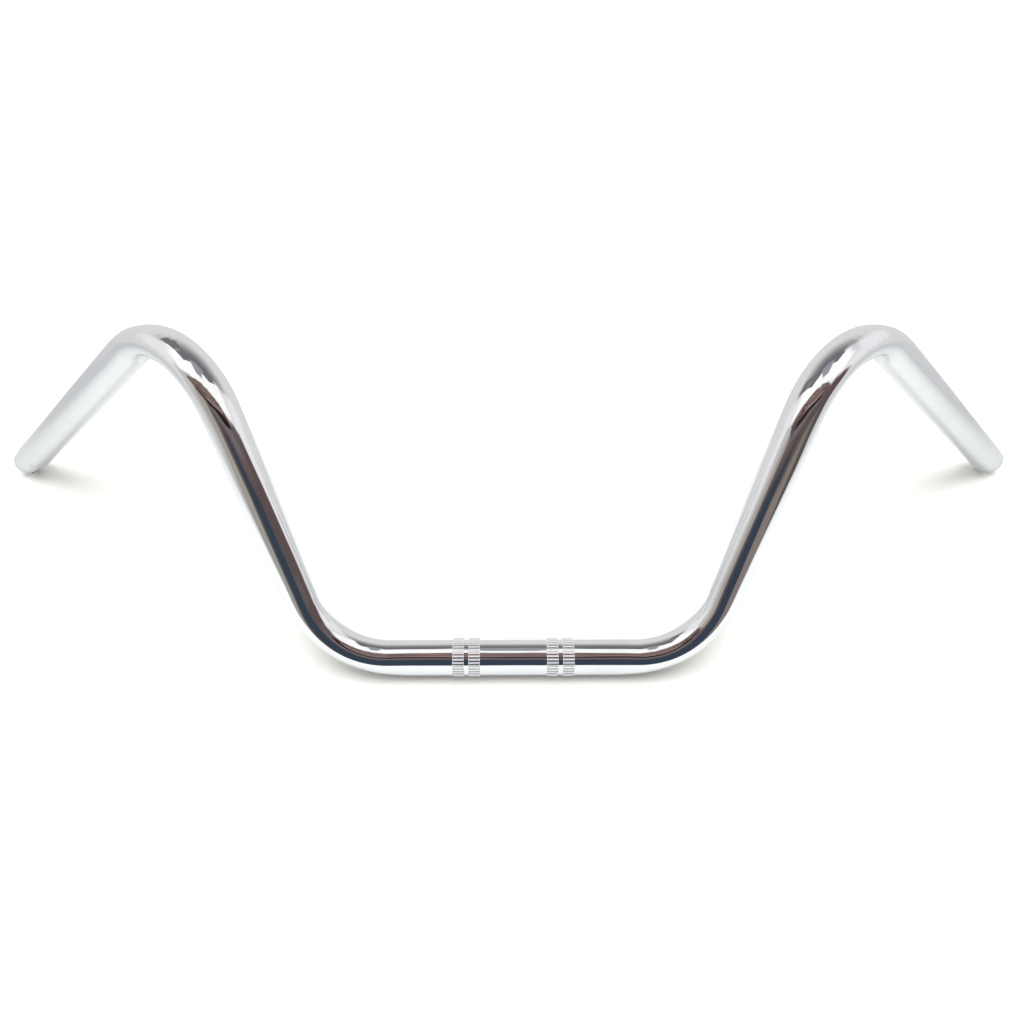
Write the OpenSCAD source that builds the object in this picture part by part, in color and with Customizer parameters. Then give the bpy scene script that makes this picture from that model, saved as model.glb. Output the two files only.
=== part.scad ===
// Buckhorn handlebar for a motorcycle: one chromed steel tube, bent twice on each side.
// The origin is on the tube's axis in the middle of the clamping stretch.
// +X runs along the bar to its right end, +Y to the back and +Z up.
// The bar stands as it rests on a floor: on its knurled bands and on the rims of both grips.

/* [Tube] */
// Outer diameter of the bar tube
tube_diameter = 22.2; // [21:0.1:24]
// Thickness of the tube wall
tube_wall = 2; // [1.2:0.1:3]

/* [Bends] */
// Straight length between the two lower bends
middle_length = 149; // [120:1:200]
// Radius of every bend, to the tube's axis
bend_radius = 52; // [40:1:70]
// Angle of the lower bends
lower_bend = 71.2; // [60:0.1:85]
// Straight length of the riser between its two bends
riser_length = 120.5; // [80:0.5:200]
// How far the tube is turned about its own axis before the upper bend
bend_turn = 217.3; // [205:0.1:230]
// Angle of the upper bends
upper_bend = 99.5; // [90:0.1:110]
// Straight length of each grip, from its bend to the open end
grip_length = 232; // [200:1:260]

/* [Knurled bands] */
// Distance between the middles of the two pairs of bands
pair_spacing = 56.2; // [50:0.1:80]
// Width of one band
band_width = 6.8; // [4:0.1:9]
// Plain gap between the two bands of a pair
band_gap = 2.7; // [1:0.1:5]
// Number of teeth around a band
teeth_around = 36; // [24:1:48]
// Height of the tooth crests above the tube
tooth_rise = 0.4; // [0.2:0.05:0.6]
// Depth of the grooves between the teeth below the tube
tooth_sink = 0.2; // [0.1:0.05:0.3]

/* [Ends] */
// Length of the turned-down collar at each open end
collar_length = 7; // [4:0.5:15]
// Depth that the collar is turned down below the tube
collar_step = 0.25; // [0.1:0.05:0.4]
// Radius of the rounded outer edge of the rim
rim_round = 0.6; // [0.3:0.1:0.8]
// Width of the slope at the mouth of the bore
mouth_chamfer = 0.4; // [0.2:0.1:0.5]

/* [Quality] */
// Facets around the tube
tube_facets = 40; // [24:4:48]
// Facets in a full turn of a bend
bend_facets = 60; // [36:12:72]

/* [Hidden] */

tube_radius = tube_diameter / 2;
bore_radius = tube_radius - tube_wall;
collar_radius = tube_radius - collar_step;
rim_facets = 24;
// How much smaller the section's radius is in a bend.
bend_draw = 0.02;
// The angle by which a bend laps into the straight rods next to it.
bend_lap = 0.2;
// The shares of a tooth's pitch that its flat crest and its foot take.
crest_share = 0.46;
foot_share = 0.8;
// How far the bore is drawn past the open ends.
end_overrun = 1;
// The lie angle is looked for between these two slopes, by halving the range so many times.
flattest_slope = 20;
steepest_slope = 88;
slope_halvings = 50;
chrome = [0.78, 0.79, 0.80];

// The floor that the bar rests on lies at the crests of its knurled bands.
floor_depth = tube_radius + tooth_rise;

// The lie angle is the slope of the risers' plane at which the rims touch that floor.
// A place is carried as [along the bar, towards the bend, across], and the slope comes last.
function turned(v, angle) = [
    v[0],
    v[1] * cos(angle) - v[2] * sin(angle),
    v[1] * sin(angle) + v[2] * cos(angle)
];
function bent(v, angle) = [
    v[0] * cos(angle) - v[1] * sin(angle),
    v[0] * sin(angle) + v[1] * cos(angle),
    v[2]
];
function bend_move(angle) = bend_radius * [sin(angle), 1 - cos(angle), 0];

// From the middle of the bar to the middle of the open end, before the slope.
after_upper = bend_move(upper_bend) + bent([grip_length, 0, 0], upper_bend);
after_riser = [riser_length, 0, 0] + turned(after_upper, bend_turn);
end_middle = [middle_length / 2, 0, 0] + bend_move(lower_bend) + bent(after_riser, lower_bend);
end_direction = bent(turned(bent([1, 0, 0], upper_bend), bend_turn), lower_bend);

// Height of the lowest point of the rim above the axis of the middle stretch.
function rim_height(slope) =
    let (middle = turned(end_middle, slope), way = turned(end_direction, slope))
    middle[2] - rim_round * way[2]
    - (collar_radius - rim_round) * sqrt(1 - way[2] * way[2]) - rim_round;
// The slope between low and high at which that point is as deep as the floor.
function lie_slope(low, high, steps) =
    let (mid = (low + high) / 2)
    steps == 0 ? mid
    : (rim_height(mid) + floor_depth) * (rim_height(low) + floor_depth) > 0
        ? lie_slope(mid, high, steps - 1)
        : lie_slope(low, mid, steps - 1);
lie_angle = lie_slope(flattest_slope, steepest_slope, slope_halvings);

// Places what follows at the middle of the bar, looking along its right half.
// The local +X direction is the one in which the lower bend turns.
module at_middle() {
    rotate([lie_angle, 0, 0])
        rotate([90, 0, 90])
            children();
}

// Moves what follows along the tube, past a straight stretch.
module past_straight(length) {
    translate([0, 0, length]) children();
}

// Moves what follows along the tube, past a bend.
module past_bend(angle) {
    translate([bend_radius, 0, 0])
        rotate([0, angle, 0])
            translate([-bend_radius, 0, 0])
                children();
}

module straight_rod(length, radius) {
    cylinder(h = length, r = radius, $fn = tube_facets);
}

// A bend as a rod whose section is drawn in a little.
// It laps into the straight rods at both of its ends.
module bent_rod(angle, radius) {
    translate([bend_radius, 0, 0])
        rotate([-90, 0, 0])
            rotate([0, 0, -bend_lap])
                rotate_extrude(angle = angle + 2 * bend_lap, $fn = bend_facets)
                    translate([-bend_radius, 0])
                        circle(r = radius - bend_draw, $fn = tube_facets);
}

// The middle stretch as a rod of the given radius.
module middle_rod(radius) {
    at_middle()
        translate([0, 0, -middle_length / 2])
            straight_rod(middle_length, radius);
}

// The right riser, its two bends and its grip as one rod of the given radius.
// The grip stops short of the open end by the given gap.
module side_rod(radius, end_gap) {
    at_middle()
        past_straight(middle_length / 2) {
            bent_rod(lower_bend, radius);
            past_bend(lower_bend) {
                straight_rod(riser_length, radius);
                past_straight(riser_length)
                    rotate([0, 0, bend_turn]) {
                        bent_rod(upper_bend, radius);
                        past_bend(upper_bend)
                            straight_rod(grip_length - end_gap, radius);
                    }
            }
        }
}

// Places what follows at the open end of the right grip, looking out along it.
module at_end() {
    at_middle()
        past_straight(middle_length / 2)
            past_bend(lower_bend)
                past_straight(riser_length)
                    rotate([0, 0, bend_turn])
                        past_bend(upper_bend)
                            past_straight(grip_length)
                                children();
}

// The turned-down collar of an open end as a solid plug with a rounded rim.
module collar() {
    rotate_extrude($fn = tube_facets) {
        translate([0, -collar_length])
            square([collar_radius, collar_length - rim_round]);
        translate([0, -rim_round])
            square([collar_radius - rim_round, rim_round]);
        intersection() {
            translate([collar_radius - rim_round, -rim_round])
                circle(r = rim_round, $fn = rim_facets);
            translate([collar_radius - rim_round, -rim_round])
                square(rim_round);
        }
    }
}

// The cone that opens the mouth of the bore, drawn past the rim for a clean cut.
module mouth() {
    translate([0, 0, -mouth_chamfer])
        cylinder(
            h = 2 * mouth_chamfer,
            r1 = bore_radius,
            r2 = bore_radius + 2 * mouth_chamfer,
            $fn = tube_facets
        );
}

// One side of the bar, solid, up to and including its collar.
module solid_side() {
    side_rod(tube_radius, collar_length);
    at_end() collar();
}

// What is cut out of one side: the bore and its open mouth.
module side_bore() {
    side_rod(bore_radius, -end_overrun);
    at_end() mouth();
}

// Places what follows on both sides of the bar.
module both_sides() {
    children();
    mirror([1, 0, 0]) children();
}

// The plain rod of the middle stretch between two places along it.
module plain_stretch(from, to) {
    at_middle()
        past_straight(from)
            straight_rod(to - from, tube_radius);
}

// One knurled band, solid, from the given place on: ridges that run along the bar.
module knurled_band(from) {
    pitch = 360 / teeth_around;
    crest = tube_radius + tooth_rise;
    root = tube_radius - tooth_sink;
    corners = [
        [-foot_share / 2, root],
        [-crest_share / 2, crest],
        [crest_share / 2, crest],
        [foot_share / 2, root]
    ];
    at_middle()
        past_straight(from)
            linear_extrude(height = band_width)
                polygon([
                    for (tooth = [0 : teeth_around - 1], corner = corners)
                        let (angle = pitch * (tooth + corner[0]))
                        corner[1] * [cos(angle), sin(angle)]
                ]);
}

// The middle stretch with its four knurled bands, still solid.
module solid_middle() {
    pair_width = 2 * band_width + band_gap;
    left = -(pair_spacing + pair_width) / 2;
    right = (pair_spacing - pair_width) / 2;
    step = band_width + band_gap;
    plain_stretch(-middle_length / 2, left);
    plain_stretch(left + pair_width, right);
    plain_stretch(right + pair_width, middle_length / 2);
    for (start = [left, right]) {
        knurled_band(start);
        plain_stretch(start + band_width, start + step);
        knurled_band(start + step);
    }
}

module handlebar() {
    color(chrome)
        difference() {
            union() {
                solid_middle();
                both_sides() solid_side();
            }
            middle_rod(bore_radius);
            both_sides() side_bore();
        }
}

handlebar();
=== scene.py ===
"""Chromed buckhorn handlebar, resting on its middle stretch and on both grip ends.

Lengths are in metres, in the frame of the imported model: the origin is on the tube's axis in
the middle of the clamping stretch, +X runs to the right end, +Y to the back and +Z up.
"""

import math

import bpy
import numpy as np
from mathutils import Matrix


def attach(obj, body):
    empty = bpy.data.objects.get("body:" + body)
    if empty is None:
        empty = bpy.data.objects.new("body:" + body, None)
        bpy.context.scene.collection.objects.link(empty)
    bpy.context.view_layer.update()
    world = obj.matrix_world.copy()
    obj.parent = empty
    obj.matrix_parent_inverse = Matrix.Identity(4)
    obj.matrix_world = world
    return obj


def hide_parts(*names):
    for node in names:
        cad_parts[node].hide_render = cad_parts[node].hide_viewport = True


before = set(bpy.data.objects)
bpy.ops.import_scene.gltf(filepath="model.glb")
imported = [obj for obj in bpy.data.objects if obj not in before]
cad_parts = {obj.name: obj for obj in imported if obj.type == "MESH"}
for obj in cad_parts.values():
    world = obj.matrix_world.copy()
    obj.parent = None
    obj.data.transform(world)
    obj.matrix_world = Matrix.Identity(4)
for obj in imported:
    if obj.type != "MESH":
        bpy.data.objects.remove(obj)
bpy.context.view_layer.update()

MM = 0.001

# Sizes of the bar, the same as in the part's source.
TUBE_RADIUS = 11.1 * MM
BORE_RADIUS = 9.1 * MM
MIDDLE_HALF = 74.5 * MM
BEND_RADIUS = 52.0 * MM
LOWER_BEND = math.radians(71.2)
RISER_LENGTH = 120.5 * MM
BEND_TURN = math.radians(217.3)
UPPER_BEND = math.radians(99.5)
GRIP_LENGTH = 232.0 * MM
COLLAR_LENGTH = 7.0 * MM
COLLAR_RADIUS = 10.85 * MM
RIM_ROUND = 0.6 * MM
MOUTH_CHAMFER = 0.4 * MM

# The slope of the risers' plane. The part's source works it out, so that both rims rest.
LIE_ANGLE = math.radians(62.5096)

# The knurled bands.
BAND_WIDTH = 6.8 * MM
BAND_GAP = 2.7 * MM
PAIR_SPACING = 56.2 * MM
TEETH_AROUND = 36
TOOTH_RISE = 0.4 * MM
TOOTH_SINK = 0.2 * MM

# How far the edges of the bands lie below the tube's skin.
SKIN_GAP = 0.02 * MM

# Where the collar begins, as a run along the tube from the middle of the bar.
COLLAR_START = (
    MIDDLE_HALF
    + RISER_LENGTH
    + BEND_RADIUS * (LOWER_BEND + UPPER_BEND)
    + GRIP_LENGTH
    - COLLAR_LENGTH
)

# How the section gives in a bend: its outer wall flattens and its sides spread.
OUTER_FLATTENING = 0.25
SIDE_SPREAD = 0.07
# The flattening begins this far before a bend, and is full this far into it.
GIVE_BEFORE = 14.0 * MM
GIVE_INSIDE = 22.0 * MM

# Facets around the tube, and steps along each stretch of the outside of its right half.
FACETS_AROUND = 112
MIDDLE_STEPS = 20
LOWER_BEND_STEPS = 44
RISER_STEPS = 40
UPPER_BEND_STEPS = 60
GRIP_STEPS = 60
RIM_STEPS = 8
# The share of those steps that the bore has.
BORE_DETAIL = 0.5

# The skin dips under a band: over this length at each of its edges, and to this radius.
BAND_EDGE = 0.05 * MM
SUNK_RADIUS = TUBE_RADIUS - TOOTH_SINK - 0.15 * MM

# Half the length of the slope down to the collar, half that of its steep middle, and how much
# the corners between them are rounded.
COLLAR_SLOPE = 0.12 * MM
STEEP_SLOPE = 0.03 * MM
SLOPE_ROUND = 0.02 * MM

# The rings that hold the shading at an edge lie this far from it.
HOLDING_RING = 0.1 * MM
MOUTH_RING = 0.08 * MM

# Runs that differ by less are the same, and so are points.
SAME_RUN = 1e-9
SAME_POINT = 1e-7

FLOOR_LEVEL = -(TUBE_RADIUS + TOOTH_RISE)

# The camera, fitted to the bar's outline in the photograph. Its angles are in degrees, and its
# focal length in pixels of a picture of that width.
CAMERA_PLACE = (-0.004222, -0.279453, 0.370748)
CAMERA_YAW = -0.6136
CAMERA_PITCH = 42.086
CAMERA_ROLL = 0.2990
FOCAL_PIXELS = 751.82
PICTURE_PIXELS = 1024
SENSOR_WIDTH = 36.0

bpy.context.scene.view_settings.view_transform = "Standard"


def set_camera():
    """The photograph's viewpoint: in front of the bar and above it."""
    lens = bpy.data.cameras.new("viewpoint")
    lens.sensor_fit = "HORIZONTAL"
    lens.sensor_width = SENSOR_WIDTH
    lens.lens = SENSOR_WIDTH * FOCAL_PIXELS / PICTURE_PIXELS
    lens.clip_start = 0.01
    lens.clip_end = 60.0
    camera = bpy.data.objects.new("viewpoint", lens)
    bpy.context.scene.collection.objects.link(camera)
    turn = (
        Matrix.Rotation(math.radians(CAMERA_YAW), 4, "Z")
        @ Matrix.Rotation(math.pi / 2 - math.radians(CAMERA_PITCH), 4, "X")
        @ Matrix.Rotation(math.radians(CAMERA_ROLL), 4, "Z")
    )
    camera.matrix_world = Matrix.Translation(CAMERA_PLACE) @ turn
    bpy.context.scene.camera = camera


class TubePath:
    """Walks along the right half of the bar and notes a section at each step."""

    def __init__(self):
        self.place = np.zeros(3)
        self.ahead = np.array([1.0, 0.0, 0.0])
        self.outward = -np.array([0.0, math.cos(LIE_ANGLE), math.sin(LIE_ANGLE)])
        self.run = 0.0
        self.sections = []
        self.bends = []

    def note(self):
        self.sections.append(
            dict(
                place=self.place.copy(),
                ahead=self.ahead.copy(),
                across=self.outward.copy(),
                run=self.run,
                bend_side=0.0,
                give=0.0,
            )
        )

    def straight(self, length, steps):
        for _ in range(steps):
            self.place = self.place + self.ahead * (length / steps)
            self.run += length / steps
            self.note()

    def bend(self, angle, side, steps):
        """Bends away from a side, which is an angle about the tube from its across direction."""
        beside = np.cross(self.ahead, self.outward)
        off = self.outward * math.cos(side) + beside * math.sin(side)
        keep = np.cross(self.ahead, off)
        centre = self.place - off * BEND_RADIUS
        ahead = self.ahead
        self.bends.append((self.run, self.run + BEND_RADIUS * angle, side))
        for step in range(1, steps + 1):
            turned = angle * step / steps
            off_now = off * math.cos(turned) + ahead * math.sin(turned)
            self.ahead = ahead * math.cos(turned) - off * math.sin(turned)
            self.place = centre + off_now * BEND_RADIUS
            self.outward = off_now * math.cos(side) - keep * math.sin(side)
            self.run += BEND_RADIUS * angle / steps
            self.note()

    def let_give(self):
        """Notes on each section in or near a bend how far it has given way."""
        ramp = GIVE_BEFORE + GIVE_INSIDE
        for begin, end, side in self.bends:
            for section in self.sections:
                inside = min(section["run"] - begin, end - section["run"]) + GIVE_BEFORE
                if inside > 0:
                    share = min(inside / ramp, 1.0)
                    section["bend_side"] = side
                    section["give"] = share * share * (3 - 2 * share)


def right_half(detail):
    """Sections from the middle of the bar to the open end of its right grip."""
    path = TubePath()
    path.note()
    path.straight(MIDDLE_HALF, int(MIDDLE_STEPS * detail))
    path.bend(LOWER_BEND, 0.0, int(LOWER_BEND_STEPS * detail))
    path.straight(RISER_LENGTH, int(RISER_STEPS * detail))
    path.bend(UPPER_BEND, BEND_TURN, int(UPPER_BEND_STEPS * detail))
    path.straight(GRIP_LENGTH - COLLAR_LENGTH, int(GRIP_STEPS * detail))
    path.straight(COLLAR_LENGTH, 1)
    path.let_give()
    return path.sections


def moved(section, forward, radius):
    """A copy of a section, moved along the tube and given a radius."""
    copy = dict(section)
    copy["place"] = section["place"] + section["ahead"] * forward
    copy["run"] = section["run"] + forward
    copy["radius"] = radius
    return copy


def band_places():
    """Where each of the right pair's knurled bands begins."""
    first = (PAIR_SPACING - BAND_GAP) / 2 - BAND_WIDTH
    return [first, first + BAND_WIDTH + BAND_GAP]


def band_marks():
    """The runs and radii that make the skin dip under each band."""
    marks = []
    for begin in band_places():
        end = begin + BAND_WIDTH
        marks += [
            (begin - BAND_EDGE, TUBE_RADIUS),
            (begin, TUBE_RADIUS),
            (begin + BAND_EDGE, SUNK_RADIUS),
            (begin + 2 * BAND_EDGE, SUNK_RADIUS),
            (end - 2 * BAND_EDGE, SUNK_RADIUS),
            (end - BAND_EDGE, SUNK_RADIUS),
            (end, TUBE_RADIUS),
            (end + BAND_EDGE, TUBE_RADIUS),
        ]
    return marks


def at_band(run):
    """Whether a run lies under a band, or so near it that the band's marks stand for it."""
    near = 3 * BAND_EDGE
    return any(begin - near < run < begin + BAND_WIDTH + near for begin in band_places())


def middle_sections(sections):
    """The straight middle of the right half, with the dips under its bands."""
    plain = [
        (s["run"], TUBE_RADIUS)
        for s in sections
        if s["run"] < MIDDLE_HALF - SAME_RUN and not at_band(s["run"])
    ]
    made = []
    for run, radius in sorted(band_marks() + plain):
        start = [s for s in sections if s["run"] <= min(run, MIDDLE_HALF) + SAME_RUN][-1]
        made.append(moved(start, run - start["run"], radius))
    return made


def collar_sections(start):
    """The slope down to the collar, and the collar's middle."""
    return [
        moved(start, -COLLAR_SLOPE, TUBE_RADIUS),
        moved(start, -STEEP_SLOPE, TUBE_RADIUS - SLOPE_ROUND),
        moved(start, 0.0, (TUBE_RADIUS + COLLAR_RADIUS) / 2),
        moved(start, STEEP_SLOPE, COLLAR_RADIUS + SLOPE_ROUND),
        moved(start, COLLAR_SLOPE, COLLAR_RADIUS),
        moved(start, COLLAR_LENGTH / 2, COLLAR_RADIUS),
    ]


def rim_sections(tip):
    """The rounded outer edge of the open end."""
    made = [moved(tip, -RIM_ROUND - HOLDING_RING, COLLAR_RADIUS)]
    for step in range(RIM_STEPS + 1):
        angle = math.pi / 2 * step / RIM_STEPS
        back = RIM_ROUND * (1 - math.sin(angle))
        drawn_in = RIM_ROUND * (1 - math.cos(angle))
        made.append(moved(tip, -back, COLLAR_RADIUS - drawn_in))
    return made


def outer_half():
    """The outside of the right half, from the middle to the rim, and the open end's section."""
    sections = right_half(1.0)
    *past_middle, collar_start, tip = [s for s in sections if s["run"] >= MIDDLE_HALF - SAME_RUN]
    outside = middle_sections(sections)
    outside += [moved(s, 0.0, TUBE_RADIUS) for s in past_middle]
    return outside + collar_sections(collar_start) + rim_sections(tip), tip


def mirrored(section):
    """The same section on the left half."""
    copy = dict(section)
    flip = np.array([-1.0, 1.0, 1.0])
    copy["place"] = section["place"] * flip
    copy["ahead"] = -section["ahead"] * flip
    copy["across"] = section["across"] * flip
    copy["run"] = -section["run"]
    return copy


def bar_sections():
    """Every section of the closed skin: over the outside, round a rim and back through the bore."""
    outside, tip = outer_half()
    inside = [moved(s, 0.0, BORE_RADIUS) for s in right_half(BORE_DETAIL)[:-1]]
    mouth = [
        moved(tip, 0.0, BORE_RADIUS + MOUTH_CHAMFER + MOUTH_RING),
        moved(tip, 0.0, BORE_RADIUS + MOUTH_CHAMFER),
        moved(tip, -MOUTH_CHAMFER, BORE_RADIUS),
        moved(tip, -MOUTH_CHAMFER - HOLDING_RING, BORE_RADIUS),
    ]
    right = outside + mouth + inside[::-1]
    left = [mirrored(s) for s in right[::-1]]
    # The first and the last section of the half lie in the middle and are shared.
    return right + left[1:-1]


def new_tree(name, inputs):
    """An empty geometry tree with the given inputs."""
    tree = bpy.data.node_groups.new(name, "GeometryNodeTree")
    tree.interface.new_socket("Geometry", in_out="OUTPUT", socket_type="NodeSocketGeometry")
    tree.interface.new_socket("Geometry", in_out="INPUT", socket_type="NodeSocketGeometry")
    for label, kind, value in inputs:
        socket = tree.interface.new_socket(label, in_out="INPUT", socket_type=kind)
        if value is not None:
            socket.default_value = value
    return tree


class Maker:
    """Adds nodes to a tree and joins them."""

    def __init__(self, tree):
        self.tree = tree
        self.source = tree.nodes.new("NodeGroupInput")

    def node(self, kind, inputs=None, **settings):
        made = self.tree.nodes.new(kind)
        for key, value in settings.items():
            setattr(made, key, value)
        for key, value in (inputs or {}).items():
            self.give(made.inputs[key], value)
        return made

    def give(self, socket, value):
        if isinstance(value, bpy.types.NodeSocket):
            self.tree.links.new(value, socket)
        elif value is not None:
            socket.default_value = value

    def math(self, operation, a, b=None):
        return self.node("ShaderNodeMath", {0: a, 1: b}, operation=operation).outputs[0]

    def vector(self, operation, a, b=None, scale=None):
        inputs = {0: a, 1: b} if scale is None else {0: a, "Scale": scale}
        return self.node("ShaderNodeVectorMath", inputs, operation=operation).outputs[0]

    def distance(self, a, b):
        """How far a point with these two coordinates lies from the middle."""
        squares = self.math("ADD", self.math("MULTIPLY", a, a), self.math("MULTIPLY", b, b))
        return self.math("SQRT", squares)

    def smooth_step(self, value, low, high, at_low=0.0, at_high=1.0):
        """Leads from one value at the low mark to another at the high mark, eased at both."""
        marks = {"From Min": low, "From Max": high, "To Min": at_low, "To Max": at_high}
        return self.node(
            "ShaderNodeMapRange", {"Value": value, **marks}, interpolation_type="SMOOTHSTEP"
        ).outputs[0]

    def finish(self, geometry, material):
        """Closes a geometry tree: what it made becomes real and takes its material."""
        real = self.node("GeometryNodeRealizeInstances", {"Geometry": geometry})
        painted = self.node(
            "GeometryNodeSetMaterial", {"Geometry": real.outputs[0], "Material": material}
        )
        end = self.tree.nodes.new("NodeGroupOutput")
        self.tree.links.new(painted.outputs[0], end.inputs[0])


def grown(name, tree, mesh, values):
    """Runs a tree on a mesh and returns its result as a plain mesh object."""
    seed = bpy.data.objects.new(name + "_seed", mesh)
    bpy.context.scene.collection.objects.link(seed)
    modifier = seed.modifiers.new("grow", "NODES")
    modifier.node_group = tree
    sockets = {
        item.name: item.identifier
        for item in tree.interface.items_tree
        if item.item_type == "SOCKET" and item.in_out == "INPUT"
    }
    for label, value in values.items():
        modifier[sockets[label]] = value
    bpy.context.view_layer.update()
    ready = seed.evaluated_get(bpy.context.evaluated_depsgraph_get())
    plain = bpy.data.meshes.new_from_object(ready)
    plain.name = name
    bpy.data.objects.remove(seed)
    piece = bpy.data.objects.new(name, plain)
    bpy.context.scene.collection.objects.link(piece)
    return piece


def section_mesh(sections):
    """One loose point for each section, with what the tube tree reads stored on it."""
    mesh = bpy.data.meshes.new("sections")
    mesh.from_pydata([tuple(s["place"]) for s in sections], [], [])
    across = mesh.attributes.new("across", "FLOAT_VECTOR", "POINT")
    beside = mesh.attributes.new("beside", "FLOAT_VECTOR", "POINT")
    for i, s in enumerate(sections):
        across.data[i].vector = tuple(s["across"])
        beside.data[i].vector = tuple(np.cross(s["ahead"], s["across"]))
    for label in ("radius", "bend_side", "give", "run"):
        layer = mesh.attributes.new(label, "FLOAT", "POINT")
        for i, s in enumerate(sections):
            layer.data[i].value = float(s[label])
    return mesh


def bent_tube_tree():
    """Skins a list of sections.

    It is a grid with a row for each section, and its columns go around the tube.
    """
    tree = new_tree(
        "bent_tube",
        [
            ("Facets Around", "NodeSocketInt", FACETS_AROUND),
            ("Outer Flattening", "NodeSocketFloat", OUTER_FLATTENING),
            ("Side Spread", "NodeSocketFloat", SIDE_SPREAD),
            ("Material", "NodeSocketMaterial", None),
        ],
    )
    m = Maker(tree)
    rings = m.source.outputs["Geometry"]
    facets = m.source.outputs["Facets Around"]
    count = m.node("GeometryNodeAttributeDomainSize", {"Geometry": rings}).outputs["Point Count"]
    columns = m.math("ADD", facets, 1)
    grid = m.node(
        "GeometryNodeMeshGrid", {"Vertices X": m.math("ADD", count, 1), "Vertices Y": columns}
    )
    index = m.node("GeometryNodeInputIndex").outputs[0]
    row = m.math("FLOOR", m.math("DIVIDE", m.math("ADD", index, 0.5), columns))
    column = m.math("SUBTRACT", index, m.math("MULTIPLY", row, columns))
    ring = m.math("MODULO", row, count)
    angle = m.math("MULTIPLY", m.math("DIVIDE", column, facets), 2 * math.pi)

    def sampled(field, kind):
        """What a field says at this row's section."""
        return m.node(
            "GeometryNodeSampleIndex",
            {"Geometry": rings, "Index": ring, "Value": field},
            data_type=kind,
        ).outputs[0]

    def read(label, kind="FLOAT"):
        field = m.node("GeometryNodeInputNamedAttribute", {"Name": label}, data_type=kind)
        return sampled(field.outputs[0], kind)

    spot = sampled(m.node("GeometryNodeInputPosition").outputs[0], "FLOAT_VECTOR")
    radius, side, give = read("radius"), read("bend_side"), read("give")
    local = m.math("SUBTRACT", angle, side)
    out_part, side_part = m.math("COSINE", local), m.math("SINE", local)
    facing_out = m.math("GREATER_THAN", out_part, 0.0)
    flattened = m.math("MULTIPLY", give, m.source.outputs["Outer Flattening"])
    flat = m.math("MULTIPLY", flattened, facing_out)
    reach_out = m.math("MULTIPLY", radius, m.math("SUBTRACT", 1.0, flat))
    spread = m.math("MULTIPLY", give, m.source.outputs["Side Spread"])
    reach_side = m.math("MULTIPLY", radius, m.math("ADD", 1.0, spread))
    a = m.math("MULTIPLY", reach_out, out_part)
    b = m.math("MULTIPLY", reach_side, side_part)
    # Turned back by the bend's side, from the bend's own directions to the section's.
    side_cos, side_sin = m.math("COSINE", side), m.math("SINE", side)
    along_across = m.math(
        "SUBTRACT", m.math("MULTIPLY", a, side_cos), m.math("MULTIPLY", b, side_sin)
    )
    along_beside = m.math("ADD", m.math("MULTIPLY", a, side_sin), m.math("MULTIPLY", b, side_cos))
    place = m.vector(
        "ADD",
        spot,
        m.vector(
            "ADD",
            m.vector("SCALE", read("across", "FLOAT_VECTOR"), scale=along_across),
            m.vector("SCALE", read("beside", "FLOAT_VECTOR"), scale=along_beside),
        ),
    )
    skin = m.node(
        "ShaderNodeCombineXYZ",
        {0: read("run"), 1: m.math("COSINE", angle), 2: m.math("SINE", angle)},
    )
    noted = m.node(
        "GeometryNodeStoreNamedAttribute",
        {"Geometry": grid.outputs["Mesh"], "Name": "along_tube", "Value": skin.outputs[0]},
        data_type="FLOAT_VECTOR",
        domain="POINT",
    )
    placed = m.node(
        "GeometryNodeSetPosition", {"Geometry": noted.outputs[0], "Position": place}
    )
    closed = m.node(
        "GeometryNodeMergeByDistance", {"Geometry": placed.outputs[0], "Distance": SAME_POINT}
    )
    smooth = m.node("GeometryNodeSetShadeSmooth", {"Geometry": closed.outputs[0]})
    m.finish(smooth.outputs[0], m.source.outputs["Material"])
    return tree


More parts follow.
